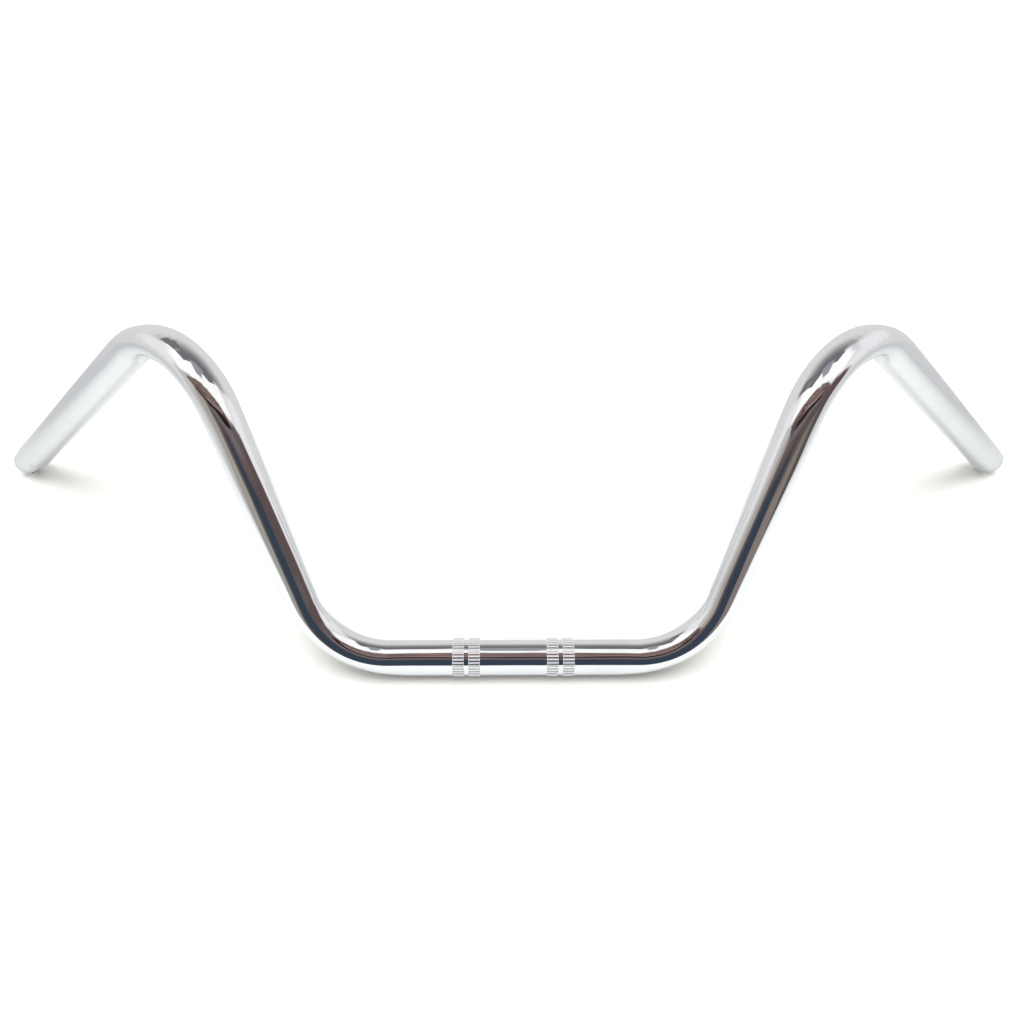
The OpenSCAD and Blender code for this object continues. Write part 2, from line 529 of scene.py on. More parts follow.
def knurled_band_tree():
    """Puts one pressed band of teeth at each point it is given, with the teeth along the bar.

    A band is a closed ring: its outside is rows of teeth, and its last rows go back inside.
    """
    tree = new_tree(
        "knurled_band",
        [
            ("Teeth", "NodeSocketInt", TEETH_AROUND),
            ("Facets Per Tooth", "NodeSocketInt", 16),
            ("Rows", "NodeSocketInt", 21),
            ("Tube Radius", "NodeSocketFloat", TUBE_RADIUS),
            ("Rise", "NodeSocketFloat", TOOTH_RISE),
            ("Sink", "NodeSocketFloat", TOOTH_SINK),
            ("Width", "NodeSocketFloat", BAND_WIDTH),
            ("Run Out", "NodeSocketFloat", 0.16 * MM),
            ("Seat Depth", "NodeSocketFloat", 0.6 * MM),
            ("Flat Share", "NodeSocketFloat", 0.44),
            ("Foot Share", "NodeSocketFloat", 0.88),
            ("Material", "NodeSocketMaterial", None),
        ],
    )
    m = Maker(tree)
    given = m.source.outputs
    rows = given["Rows"]
    columns = m.math("ADD", m.math("MULTIPLY", given["Teeth"], given["Facets Per Tooth"]), 1)
    grid = m.node(
        "GeometryNodeMeshGrid", {"Vertices X": m.math("ADD", rows, 3), "Vertices Y": columns}
    )
    index = m.node("GeometryNodeInputIndex").outputs[0]
    line = m.math("FLOOR", m.math("DIVIDE", m.math("ADD", index, 0.5), columns))
    column = m.math("SUBTRACT", index, m.math("MULTIPLY", line, columns))
    row = m.math("MODULO", line, m.math("ADD", rows, 2))
    share = m.math("DIVIDE", column, m.math("SUBTRACT", columns, 1))
    angle = m.math("MULTIPLY", share, 2 * math.pi)
    # Rows crowd at both edges of the band, where the teeth run out.
    last = m.math("SUBTRACT", rows, 1)
    wave = m.math("COSINE", m.math("MULTIPLY", m.math("DIVIDE", row, last), math.pi))
    outside = m.math("MULTIPLY", m.math("SUBTRACT", 1, wave), 0.5)
    inner = m.math("GREATER_THAN", row, m.math("ADD", last, 0.5))
    back = m.math("SUBTRACT", m.math("ADD", last, 2), row)
    along = m.node("ShaderNodeMix", {0: inner, 2: outside, 3: back}).outputs[0]
    # The height of a tooth over its pitch: a flat crest between narrow grooves.
    beat = m.math("FRACT", m.math("ADD", m.math("MULTIPLY", share, given["Teeth"]), 0.5))
    from_crest = m.math("MULTIPLY", m.math("ABSOLUTE", m.math("SUBTRACT", beat, 0.5)), 2)
    tooth = m.smooth_step(from_crest, given["Flat Share"], given["Foot Share"], 1.0, 0.0)
    level = m.math(
        "SUBTRACT",
        m.math("MULTIPLY", tooth, m.math("ADD", given["Rise"], given["Sink"])),
        given["Sink"],
    )
    from_edge = m.math(
        "MULTIPLY",
        m.math("SUBTRACT", 0.5, m.math("ABSOLUTE", m.math("SUBTRACT", along, 0.5))),
        given["Width"],
    )
    full = m.smooth_step(from_edge, 0.0, given["Run Out"])
    above_gap = m.math("MULTIPLY", m.math("ADD", level, SKIN_GAP), full)
    lift = m.math("SUBTRACT", above_gap, SKIN_GAP)
    sunk = m.math("MULTIPLY", given["Seat Depth"], -1)
    depth = m.node("ShaderNodeMix", {0: inner, 2: lift, 3: sunk}).outputs[0]
    reach = m.math("ADD", given["Tube Radius"], depth)
    place = m.node(
        "ShaderNodeCombineXYZ",
        {
            0: m.math("MULTIPLY", m.math("SUBTRACT", along, 0.5), given["Width"]),
            1: m.math("MULTIPLY", reach, m.math("COSINE", angle)),
            2: m.math("MULTIPLY", reach, m.math("SINE", angle)),
        },
    )
    placed = m.node(
        "GeometryNodeSetPosition",
        {"Geometry": grid.outputs["Mesh"], "Position": place.outputs[0]},
    )
    closed = m.node(
        "GeometryNodeMergeByDistance", {"Geometry": placed.outputs[0], "Distance": SAME_POINT}
    )
    smooth = m.node("GeometryNodeSetShadeSmooth", {"Geometry": closed.outputs[0]})
    spots = m.node("GeometryNodeMeshToPoints", {"Mesh": given["Geometry"]})
    bands = m.node(
        "GeometryNodeInstanceOnPoints",
        {"Points": spots.outputs[0], "Instance": smooth.outputs[0]},
    )
    m.finish(bands.outputs[0], given["Material"])
    return tree


class Painter(Maker):
    """The same helper for shader nodes, in a material, the world or a group."""

    def __init__(self, tree):
        self.tree = tree

    def placed(self, group, values):
        """Puts a group in, and gives its outputs."""
        made = self.node("ShaderNodeGroup", node_tree=group)
        for label, value in values.items():
            self.give(made.inputs[label], value)
        return made.outputs

    def mixed(self, share, below, above):
        """Lays one colour over another, by a share."""
        # The colour sockets of this node share their names with others, so they go by number.
        inputs = {0: share, 6: below, 7: above}
        return self.node("ShaderNodeMix", inputs, data_type="RGBA").outputs[2]

    def scaled(self, value, factor):
        return self.math("MULTIPLY", value, factor)


def shader_group(name, inputs, outputs):
    """An empty shader group with its inputs and outputs, and the painter that fills it."""
    group = bpy.data.node_groups.new(name, "ShaderNodeTree")
    for label, kind, value in inputs:
        socket = group.interface.new_socket(label, in_out="INPUT", socket_type=kind)
        socket.default_value = value
    for label, kind in outputs:
        group.interface.new_socket(label, in_out="OUTPUT", socket_type=kind)
    p = Painter(group)
    p.source = group.nodes.new("NodeGroupInput")
    p.end = group.nodes.new("NodeGroupOutput")
    return group, p


def new_material(name):
    material = bpy.data.materials.new(name)
    material.use_nodes = True
    return material, Painter(material.node_tree)


# Between these two levels of the noise, the plate goes from polished to hazy.
CLOUD_BEGINS = 0.42
CLOUD_IS_FULL = 0.72

# Above this level of the noise, a scratch is at its full strength.
SCRATCH_IS_FULL = 0.80


def plating_haze_group():
    """Soft clouds of haze that the plating has from place to place."""
    group, p = shader_group(
        "plating_haze",
        [
            ("Place", "NodeSocketVector", (0, 0, 0)),
            ("Scale", "NodeSocketFloat", 20.0),
            ("Polished", "NodeSocketFloat", 0.004),
            ("Hazy", "NodeSocketFloat", 0.028),
        ],
        [("Roughness", "NodeSocketFloat"), ("Cloud", "NodeSocketFloat")],
    )
    given = p.source.outputs
    cloud = p.node(
        "ShaderNodeTexNoise",
        {"Vector": given["Place"], "Scale": given["Scale"], "Detail": 5.0, "Roughness": 0.6},
    ).outputs[0]
    rough = p.smooth_step(cloud, CLOUD_BEGINS, CLOUD_IS_FULL, given["Polished"], given["Hazy"])
    p.tree.links.new(rough, p.end.inputs["Roughness"])
    p.tree.links.new(cloud, p.end.inputs["Cloud"])
    return group


def fine_scratches_group():
    """Thin broken lines. Stretch sets how fast the pattern runs on each axis of the tube's skin."""
    group, p = shader_group(
        "fine_scratches",
        [
            ("Skin", "NodeSocketVector", (0, 0, 0)),
            ("Stretch", "NodeSocketVector", (1, 1, 1)),
            ("Sparseness", "NodeSocketFloat", 0.70),
        ],
        [("Mask", "NodeSocketFloat")],
    )
    given = p.source.outputs
    drawn = p.vector("MULTIPLY", given["Skin"], given["Stretch"])
    lines = p.node(
        "ShaderNodeTexNoise",
        {"Vector": drawn, "Scale": 1.0, "Detail": 1.0, "Roughness": 0.4},
    ).outputs[0]
    mask = p.smooth_step(lines, given["Sparseness"], SCRATCH_IS_FULL)
    p.tree.links.new(mask, p.end.inputs["Mask"])
    return group


def dust_group():
    """Sparse specks of dust of uneven size."""
    group, p = shader_group(
        "dust_specks",
        [
            ("Place", "NodeSocketVector", (0, 0, 0)),
            ("Spacing", "NodeSocketFloat", 6.0 * MM),
            ("Speck", "NodeSocketFloat", 0.05),
        ],
        [("Mask", "NodeSocketFloat")],
    )
    given = p.source.outputs
    cells = p.node(
        "ShaderNodeTexVoronoi",
        {"Vector": given["Place"], "Scale": p.math("DIVIDE", 1.0, given["Spacing"])},
    )
    lot = p.node("ShaderNodeSeparateColor", {"Color": cells.outputs["Color"]}).outputs[0]
    size = p.math("MULTIPLY", given["Speck"], p.math("POWER", lot, 3.0))
    mask = p.math("LESS_THAN", cells.outputs["Distance"], size)
    p.tree.links.new(mask, p.end.inputs["Mask"])
    return group


def nick_and_shade_spot_group():
    """One soft oval mark on the tube's skin, at a run along it and an angle about it. It serves for
    real nicks and for spots of painted shade.
    """
    group, p = shader_group(
        "nick_and_shade_spot",
        [
            ("Skin", "NodeSocketVector", (0, 0, 0)),
            ("Run", "NodeSocketFloat", 0.0),
            ("Cosine", "NodeSocketFloat", 1.0),
            ("Sine", "NodeSocketFloat", 0.0),
            ("Length", "NodeSocketFloat", 0.5 * MM),
            ("Width", "NodeSocketFloat", 1.4 * MM),
        ],
        [("Mask", "NodeSocketFloat")],
    )
    given = p.source.outputs
    skin = p.node("ShaderNodeSeparateXYZ", {"Vector": given["Skin"]}).outputs
    along = p.math("DIVIDE", p.math("SUBTRACT", skin[0], given["Run"]), given["Length"])
    reach = p.math("DIVIDE", TUBE_RADIUS, given["Width"])
    parts = [along]
    for coordinate, aim in ((skin[1], given["Cosine"]), (skin[2], given["Sine"])):
        parts.append(p.math("MULTIPLY", p.math("SUBTRACT", coordinate, aim), reach))
    total = None
    for part in parts:
        square = p.math("MULTIPLY", part, part)
        total = square if total is None else p.math("ADD", total, square)
    mask = p.smooth_step(total, 0.1, 1.0, 1.0, 0.0)
    p.tree.links.new(mask, p.end.inputs["Mask"])
    return group


# The runs between which the upper bends are rippled, and how far the ripples stray, in radians.
RIPPLES_BEGIN = 296.0 * MM
RIPPLES_END = 350.0 * MM
RIPPLE_WANDER = 9.0


def bend_ripple_group():
    """Shallow ripples across the tube over one stretch of its run, the same on both sides."""
    group, p = shader_group(
        "bend_ripples",
        [
            ("Skin", "NodeSocketVector", (0, 0, 0)),
            ("Begin", "NodeSocketFloat", RIPPLES_BEGIN),
            ("End", "NodeSocketFloat", RIPPLES_END),
            ("Fade", "NodeSocketFloat", 14.0 * MM),
            ("Wave Length", "NodeSocketFloat", 5.2 * MM),
        ],
        [("Height", "NodeSocketFloat")],
    )
    given = p.source.outputs
    skin = p.node("ShaderNodeSeparateXYZ", {"Vector": given["Skin"]}).outputs
    run = p.math("ABSOLUTE", skin[0])
    share = None
    for inside in (
        p.math("SUBTRACT", run, given["Begin"]),
        p.math("SUBTRACT", given["End"], run),
    ):
        step = p.smooth_step(p.math("DIVIDE", inside, given["Fade"]), 0.0, 1.0)
        share = step if share is None else p.math("MULTIPLY", share, step)
    phase = p.math("MULTIPLY", p.math("DIVIDE", run, given["Wave Length"]), 2 * math.pi)
    wander = p.node(
        "ShaderNodeTexNoise",
        {"Vector": p.vector("MULTIPLY", given["Skin"], (60.0, 1.2, 1.2)), "Scale": 1.0},
    ).outputs[0]
    phase = p.math("ADD", phase, p.math("MULTIPLY", wander, RIPPLE_WANDER))
    height = p.math("MULTIPLY", p.math("SINE", phase), share)
    p.tree.links.new(height, p.end.inputs["Height"])
    return group


class Finish:
    """The effects that the bar's chrome finishes share, each built once."""

    def __init__(self):
        self.haze = plating_haze_group()
        self.scratches = fine_scratches_group()
        self.dust = dust_group()
        self.nick_and_shade_spot = nick_and_shade_spot_group()
        self.ripples = bend_ripple_group()


CHROME_COLOUR = (0.915, 0.93, 0.945, 1)
HAZE_COLOUR = (0.80, 0.815, 0.835, 1)
DUST_COLOUR = (0.52, 0.50, 0.47, 1)
# The colour of the nicks and of the painted shade: the spots near the left open end and the line at
# the collar's step.
NICK_AND_SHADE_COLOUR = (0.16, 0.15, 0.14, 1)
# The grooves of the bands are satin, and so they look paler than the polished plate.
GROOVE_COLOUR = (0.96, 0.96, 0.97, 1)

# How far each mark takes the chrome to its colour. The line at the collar's step and three of the
# dark spots are painted shade.
COLLAR_DULLING = 0.8
SHOULDER_SHADE_STRENGTH = 0.45
SCRATCH_DULLING = 0.35
DUST_COVER = 0.6
NICK_AND_SHADE_DARKENING = 0.8
CLOUD_DULLING = 0.5

# How much rougher the marks and the grooves are than the plate.
SCRATCH_ROUGHNESS = 0.10
COLLAR_ROUGHNESS = 0.10
DIRT_ROUGHNESS = 0.35
GROOVE_ROUGHNESS = 0.45

# How much less metallic the satin grooves look.
GROOVE_SATIN = 0.85

# Heights and depths in the surface, in millimetres.
WAVE_HEIGHT = 0.10
RIPPLE_HEIGHT = 0.025
SCRATCH_DEPTH = 0.0015
NICK_AND_SHADE_DEPTH = 0.25

# Half the width of the painted shade line at the collar's step.
SHOULDER_SHADE_HALF_WIDTH = 0.4 * MM

# How fast each pattern runs on the tube's skin: along the run, and on the two axes around it.
SCRATCHES_AROUND = (2600.0, 2.2, 2.2)
SCRATCHES_ALONG = (24.0, 190.0, 190.0)
SLOW_WAVES = (14.0, 1.6, 1.6)

# The nicks near the open ends, and three spots of painted shade near the left one: run along the
# tube, angle about it in degrees, length and width.
NICKS_AND_SHADE_SPOTS = [
    (-560.3 * MM, 352, 0.55 * MM, 1.3 * MM),
    (-558.9 * MM, 344, 0.35 * MM, 0.6 * MM),
    (-562.9 * MM, 258, 2.6 * MM, 2.6 * MM),
    # These three are spots of painted shade, where the left rim mirrors the dark contact shadow.
    (-576.0 * MM, 17, 3.6 * MM, 1.5 * MM),
    (-571.5 * MM, 24, 4.2 * MM, 1.7 * MM),
    (-567.0 * MM, 29, 3.0 * MM, 1.1 * MM),
    (560.9 * MM, 358, 0.45 * MM, 0.9 * MM),
    (559.4 * MM, 3, 0.30 * MM, 0.5 * MM),
]


def nick_and_shade_mask(p, finish, skin):
    """Where the skin has one of its nicks or one of its spots of painted shade."""
    mask = None
    for run, degrees, length, width in NICKS_AND_SHADE_SPOTS:
        dent = p.placed(
            finish.nick_and_shade_spot,
            {
                "Skin": skin,
                "Run": run,
                "Cosine": math.cos(math.radians(degrees)),
                "Sine": math.sin(math.radians(degrees)),
                "Length": length,
                "Width": width,
            },
        )["Mask"]
        mask = dent if mask is None else p.math("MAXIMUM", mask, dent)
    return mask


def scratch_mask(p, finish, skin):
    """Where the skin has a fine scratch, around the tube or along it."""
    around = p.placed(
        finish.scratches, {"Skin": skin, "Stretch": SCRATCHES_AROUND, "Sparseness": 0.71}
    )["Mask"]
    lengthwise = p.placed(
        finish.scratches, {"Skin": skin, "Stretch": SCRATCHES_ALONG, "Sparseness": 0.72}
    )["Mask"]
    return p.math("MAXIMUM", around, lengthwise)


def bright_chrome(name, finish):
    """Bright plate over the polished tube: haze, scratches, slow waves, dust, a few nicks, spots of
    painted shade near the left open end and a painted shade line at the collar's step.
    """
    material, p = new_material(name)
    shader = material.node_tree.nodes["Principled BSDF"]
    shader.inputs["Metallic"].default_value = 1.0
    place = p.node("ShaderNodeTexCoord").outputs["Object"]
    skin = p.node("ShaderNodeAttribute", attribute_name="along_tube").outputs["Vector"]
    run = p.math("ABSOLUTE", p.node("ShaderNodeSeparateXYZ", {"Vector": skin}).outputs[0])
    haze = p.placed(finish.haze, {"Place": place, "Scale": 26.0})
    scratched = scratch_mask(p, finish, skin)
    dust = p.placed(finish.dust, {"Place": place})["Mask"]
    # Real nicks, and spots of painted shade near the left open end.
    nicks_and_shade = nick_and_shade_mask(p, finish, skin)
    collar = p.math("GREATER_THAN", run, COLLAR_START)
    from_shoulder = p.math("ABSOLUTE", p.math("SUBTRACT", run, COLLAR_START))
    # A painted shade line along the collar's step.
    shoulder_shade_line = p.math("LESS_THAN", from_shoulder, SHOULDER_SHADE_HALF_WIDTH)

    clouded = p.node(
        "ShaderNodeMapRange",
        {"Value": haze["Cloud"], "From Min": 0.5, "From Max": 0.75, "To Max": CLOUD_DULLING},
    ).outputs[0]
    colour = CHROME_COLOUR
    for share, over in (
        (clouded, HAZE_COLOUR),
        (p.scaled(collar, COLLAR_DULLING), HAZE_COLOUR),
        # The painted shade line at the collar's step.
        (p.scaled(shoulder_shade_line, SHOULDER_SHADE_STRENGTH), NICK_AND_SHADE_COLOUR),
        (p.scaled(scratched, SCRATCH_DULLING), HAZE_COLOUR),
        (p.scaled(dust, DUST_COVER), DUST_COLOUR),
        # The nicks, and the spots of painted shade near the left open end.
        (p.scaled(nicks_and_shade, NICK_AND_SHADE_DARKENING), NICK_AND_SHADE_COLOUR),
    ):
        colour = p.mixed(share, colour, over)
    p.give(shader.inputs["Base Color"], colour)

    rough = haze["Roughness"]
    for mask, more in (
        (scratched, SCRATCH_ROUGHNESS),
        (collar, COLLAR_ROUGHNESS),
        (p.math("MAXIMUM", dust, nicks_and_shade), DIRT_ROUGHNESS),
    ):
        rough = p.math("ADD", rough, p.scaled(mask, more))
    p.give(shader.inputs["Roughness"], rough)

    # Slow waves, drawn out along the tube, make straight reflections swim a little.
    waves = p.node(
        "ShaderNodeTexNoise",
        {"Vector": p.vector("MULTIPLY", skin, SLOW_WAVES), "Scale": 1.0, "Detail": 2.0},
    ).outputs[0]
    ripples = p.placed(finish.ripples, {"Skin": skin})["Height"]
    height = p.math("ADD", p.scaled(waves, WAVE_HEIGHT), p.scaled(ripples, RIPPLE_HEIGHT))
    height = p.math("SUBTRACT", height, p.scaled(scratched, SCRATCH_DEPTH))
    height = p.math("SUBTRACT", height, p.scaled(nicks_and_shade, NICK_AND_SHADE_DEPTH))
    bump = p.node("ShaderNodeBump", {"Height": height, "Strength": 1.0, "Distance": MM})
    p.give(shader.inputs["Normal"], bump.outputs[0])
    return material


def knurl_chrome(name, finish):
    """The same plate on the knurled bands: bright on the crests, and satin in the grooves."""
    material, p = new_material(name)
    shader = material.node_tree.nodes["Principled BSDF"]
    place = p.node("ShaderNodeTexCoord").outputs["Object"]
    parts = p.node("ShaderNodeSeparateXYZ", {"Vector": place}).outputs
    deep = p.smooth_step(
        p.distance(parts[1], parts[2]),
        TUBE_RADIUS + 0.2 * TOOTH_RISE,
        TUBE_RADIUS + 0.92 * TOOTH_RISE,
        1.0,
        0.0,
    )
    p.give(shader.inputs["Metallic"], p.math("SUBTRACT", 1.0, p.scaled(deep, GROOVE_SATIN)))
    haze = p.placed(finish.haze, {"Place": place, "Scale": 900.0, "Polished": 0.02, "Hazy": 0.10})
    dust = p.placed(finish.dust, {"Place": place, "Spacing": 2.5 * MM, "Speck": 0.09})["Mask"]
    colour = p.mixed(deep, CHROME_COLOUR, GROOVE_COLOUR)
    colour = p.mixed(p.scaled(dust, DUST_COVER), colour, DUST_COLOUR)
    p.give(shader.inputs["Base Color"], colour)
    rough = p.math("ADD", haze["Roughness"], p.scaled(deep, GROOVE_ROUGHNESS))
    p.give(shader.inputs["Roughness"], rough)
    bump = p.node(
        "ShaderNodeBump", {"Height": haze["Cloud"], "Strength": 0.35, "Distance": 0.02 * MM}
    )
    p.give(shader.inputs["Normal"], bump.outputs[0])
    return material


def make_bar(chrome, knurl):
    """The tube and its knurled bands, as two plain meshes."""
    tube = grown(
        "bar_tube",
        bent_tube_tree(),
        section_mesh(bar_sections()),
        {
            "Facets Around": FACETS_AROUND,
            "Outer Flattening": OUTER_FLATTENING,
            "Side Spread": SIDE_SPREAD,
            "Material": chrome,
        },
    )
    middles = [begin + BAND_WIDTH / 2 for begin in band_places()]
    spots = bpy.data.meshes.new("band_spots")
    spots.from_pydata([(s * x, 0, 0) for s in (-1, 1) for x in middles], [], [])
    bands = grown(
        "knurled_bands", knurled_band_tree(), spots, {"Teeth": TEETH_AROUND, "Material": knurl}
    )
    return tube, bands


def plane(name, corners, material):
    """A flat sheet of the studio, which is no part of the bar."""
    mesh = bpy.data.meshes.new(name)
    mesh.from_pydata(corners, [], [tuple(range(len(corners)))])
    mesh.materials.append(material)
    made = bpy.data.objects.new(name, mesh)
    bpy.context.scene.collection.objects.link(made)
    return made


def glow_material(name, colour):
    """A material that gives off a plain colour."""
    material, p = new_material(name)
    material.node_tree.nodes.clear()
    glow = p.node("ShaderNodeEmission", {"Color": colour})
    p.node("ShaderNodeOutputMaterial", {"Surface": glow.outputs[0]})
    return material


def soft_patch_group():
    """Lays a soft-edged patch, given by azimuth and elevation in degrees, over a colour."""
    group, p = shader_group(
        "soft_patch",
        [
            ("Below", "NodeSocketColor", (1, 1, 1, 1)),
            ("Patch", "NodeSocketColor", (0, 0, 0, 1)),
            ("Azimuth", "NodeSocketFloat", 0.0),
            ("Elevation", "NodeSocketFloat", 0.0),
            ("Left", "NodeSocketFloat", 0.0),
            ("Right", "NodeSocketFloat", 0.0),
            ("Bottom", "NodeSocketFloat", 0.0),
            ("Top", "NodeSocketFloat", 0.0),
            ("Softness", "NodeSocketFloat", 2.0),
        ],
        [("Colour", "NodeSocketColor")],
    )
    given = p.source.outputs
    share = None
    for angle, low, high in (("Azimuth", "Left", "Right"), ("Elevation", "Bottom", "Top")):
        for inside in (
            p.math("SUBTRACT", given[angle], given[low]),
            p.math("SUBTRACT", given[high], given[angle]),
        ):
            step = p.smooth_step(p.math("DIVIDE", inside, given["Softness"]), -0.5, 0.5)
            share = step if share is None else p.math("MULTIPLY", share, step)
    colour = p.mixed(share, given["Below"], given["Patch"])
    p.tree.links.new(colour, p.end.inputs["Colour"])
    return group


# The dome round the bar, on whose inside the surroundings are laid out.
DOME_CENTRE = (0.0, -0.15, 0.05)
DOME_RADIUS = 0.78

# The plain walls of the studio.
WALL_COLOUR = (0.74, 0.73, 0.72, 1)

# What stands around the bar, as it shows in the chrome: left, right, bottom and top in degrees,
# the softness of the edge and the colour. Azimuth 0 is the camera's side and grows to the right.
SURROUNDINGS = [
    # the walls at head height
    (-200, 200, 33, 67, 17, (0.45, 0.44, 0.44)),
    # the shaded corner behind the bar
    (126, 220, 43, 72, 18, (0.19, 0.185, 0.195)),
    (-220, -140, 43, 72, 18, (0.19, 0.185, 0.195)),
    # the white ceiling, and two white sheets on the sides
    (-200, 200, 65, 95, 3, (1.02, 1.01, 1.0)),
    (-152, -84, 42, 87, 8, (1.09, 1.07, 1.06)),
    (62, 150, 47, 88, 12, (1.08, 1.06, 1.05)),
    # the bright sides and the pale strip low on them
    (-134, -91, 21, 47, 11, (0.85, 0.84, 0.84)),
    (84, 141, 18, 46, 13, (0.88, 0.87, 0.89)),
    (-135, -96, -12, 4, 10, (0.62, 0.62, 0.64)),
    (84, 133, -12, 4, 10, (0.64, 0.64, 0.65)),
    # the hard edges of the shaded corner
    (-158, -136, 36, 52, 4, (0.18, 0.175, 0.185)),
    (-200, -137, 52, 64, 1.6, (0.17, 0.165, 0.18)),
    (146, 200, 52, 66, 1.6, (0.17, 0.165, 0.18)),
    (164, 200, 60, 78, 3, (0.33, 0.32, 0.35)),
    (-200, -166, 60, 78, 3, (0.33, 0.32, 0.35)),
    # the warm grey screen on the left
    (-82, -36, -14, 52, 10, (0.56, 0.54, 0.51)),
    (-66, -31, -14, 48, 8, (0.40, 0.37, 0.34)),
    # the dark brown room on the camera's side
    (-77, 64, 47, 87, 3, (0.17, 0.125, 0.115)),
    (-60, 60, 47, 68, 5, (0.10, 0.07, 0.065)),
    (-41, 79, 21, 53, 13, (0.14, 0.10, 0.10)),
    (-30, 42, 59, 66, 2.5, (0.28, 0.20, 0.195)),
    (-34, 46, 50.5, 58.5, 2, (0.022, 0.015, 0.015)),
    (-30, 40, 43, 50, 2, (0.17, 0.15, 0.165)),
    (-32, 85, 28, 40, 5, (0.11, 0.08, 0.08)),
    (-33, 81, -14, 30, 5, (0.10, 0.09, 0.08)),
    (14, 62, -8, 22, 9, (0.24, 0.20, 0.18)),
    # the dark blue stand of the camera and the desk in front of it
    (-22, 22, -9, 37, 4, (0.040, 0.055, 0.080)),
    (-30, 30, -16, -5, 4, (0.12, 0.17, 0.22)),
    (57, 90, 14, 38, 7, (0.12, 0.08, 0.08)),
    (-59, -32, -14, 14, 6, (0.36, 0.34, 0.31)),
]

# Real edges are not ruled, so both angles wander over this many degrees.
ELEVATION_WANDER = 9.0
AZIMUTH_WANDER = 12.0

# Thin copper streaks run level through the brown room: the patch that holds them, how fast
# their pattern runs per degree of azimuth and elevation, and the levels where one begins and
# is full.
STREAK_PATCH = (-80, 74, 58, 86, 5)
STREAK_COLOUR = (0.40, 0.25, 0.22, 1)
STREAK_PACE = (0.018, 0.55)
STREAK_BEGINS = 0.52
STREAK_IS_FULL = 0.60


def laid_patch(p, group, angles, edges, below, patch):
    """Lays one soft patch over a colour."""
    azimuth, elevation = angles
    left, right, bottom, top, softness = edges
    return p.placed(
        group,
        {
            "Below": below,
            "Patch": patch,
            "Azimuth": azimuth,
            "Elevation": elevation,
            "Left": left,
            "Right": right,
            "Bottom": bottom,
            "Top": top,
            "Softness": softness,
        },
    )["Colour"]


def ragged_angles(p):
    """The azimuth and elevation of a place on the dome in degrees, with a little wander."""
    spot = p.node("ShaderNodeTexCoord").outputs["Object"]
    aim = p.vector("NORMALIZE", spot)
    parts = p.node("ShaderNodeSeparateXYZ", {"Vector": aim}).outputs
    per_degree = 180 / math.pi
    elevation = p.scaled(p.math("ARCSINE", parts[2]), per_degree)
    azimuth = p.scaled(p.math("ARCTAN2", parts[0], p.scaled(parts[1], -1)), per_degree)
    noise = p.node(
        "ShaderNodeTexNoise", {"Vector": aim, "Scale": 3.2, "Detail": 4.0, "Roughness": 0.6}
    )
    drift = p.node("ShaderNodeSeparateColor", {"Color": noise.outputs["Color"]}).outputs
    up = p.scaled(p.math("SUBTRACT", drift[0], 0.5), ELEVATION_WANDER)
    around = p.scaled(p.math("SUBTRACT", drift[1], 0.5), AZIMUTH_WANDER)
    return p.math("ADD", azimuth, around), p.math("ADD", elevation, up)


def surroundings_material():
    """What the chrome mirrors: the walls, with every patch of the surroundings laid over them."""
    material, p = new_material("surroundings")
    material.node_tree.nodes.clear()
    angles = ragged_angles(p)
    group = soft_patch_group()
    colour = WALL_COLOUR
    for *edges, shade in SURROUNDINGS:
        colour = laid_patch(p, group, angles, edges, colour, (*shade, 1))
    across, up = STREAK_PACE
    level = p.node(
        "ShaderNodeCombineXYZ", {0: p.scaled(angles[0], across), 1: p.scaled(angles[1], up)}
    )
    lines = p.node(
        "ShaderNodeTexNoise",
        {"Vector": level.outputs[0], "Scale": 1.0, "Detail": 3.0, "Roughness": 0.6},
    ).outputs[0]
    streaks = p.smooth_step(lines, STREAK_BEGINS, STREAK_IS_FULL)
    in_room = laid_patch(p, group, angles, STREAK_PATCH, (0, 0, 0, 1), (1, 1, 1, 1))
    colour = p.mixed(p.math("MULTIPLY", streaks, in_room), colour, STREAK_COLOUR)
    glow = p.node("ShaderNodeEmission", {"Color": colour})
    p.node("ShaderNodeOutputMaterial", {"Surface": glow.outputs[0]})
    return material


def seen_in_mirrors_only(made):
    """Only glossy rays meet it, so it neither lights the bar nor shades it."""
    made.visible_camera = False
    made.visible_diffuse = False
    made.visible_shadow = False
    made.visible_transmission = False


def paper_material(name, colour, seen_colour, mirrored_colour, shade_colour):
    """Pale paper that is white where it is lit, and keeps the object's shadow.

    The camera sees it in seen_colour and mirrors in mirrored_colour. What the bar throws back on
    the paper is reckoned with shade_colour, so that the shadow under the bar stays deep.
    """
    material, p = new_material(name)
    shader = material.node_tree.nodes["Principled BSDF"]
    shader.inputs["Roughness"].default_value = 0.9
    shader.inputs["Specular IOR Level"].default_value = 0.0
    ways = p.node("ShaderNodeLightPath").outputs
    bounced = p.math("MINIMUM", ways["Diffuse Depth"], 1.0)
    shown = p.mixed(ways["Is Glossy Ray"], colour, mirrored_colour)
    shown = p.mixed(bounced, shown, shade_colour)
    shown = p.mixed(ways["Is Camera Ray"], shown, seen_colour)
    p.give(shader.inputs["Base Color"], shown)
    return material


# How far from the dome's middle the mirrored paper begins to grey, and where it is all grey.
FALLOFF_BEGIN = 0.30
FALLOFF_END = 0.78
FALLOFF_COLOUR = (0.605, 0.61, 0.615, 1)


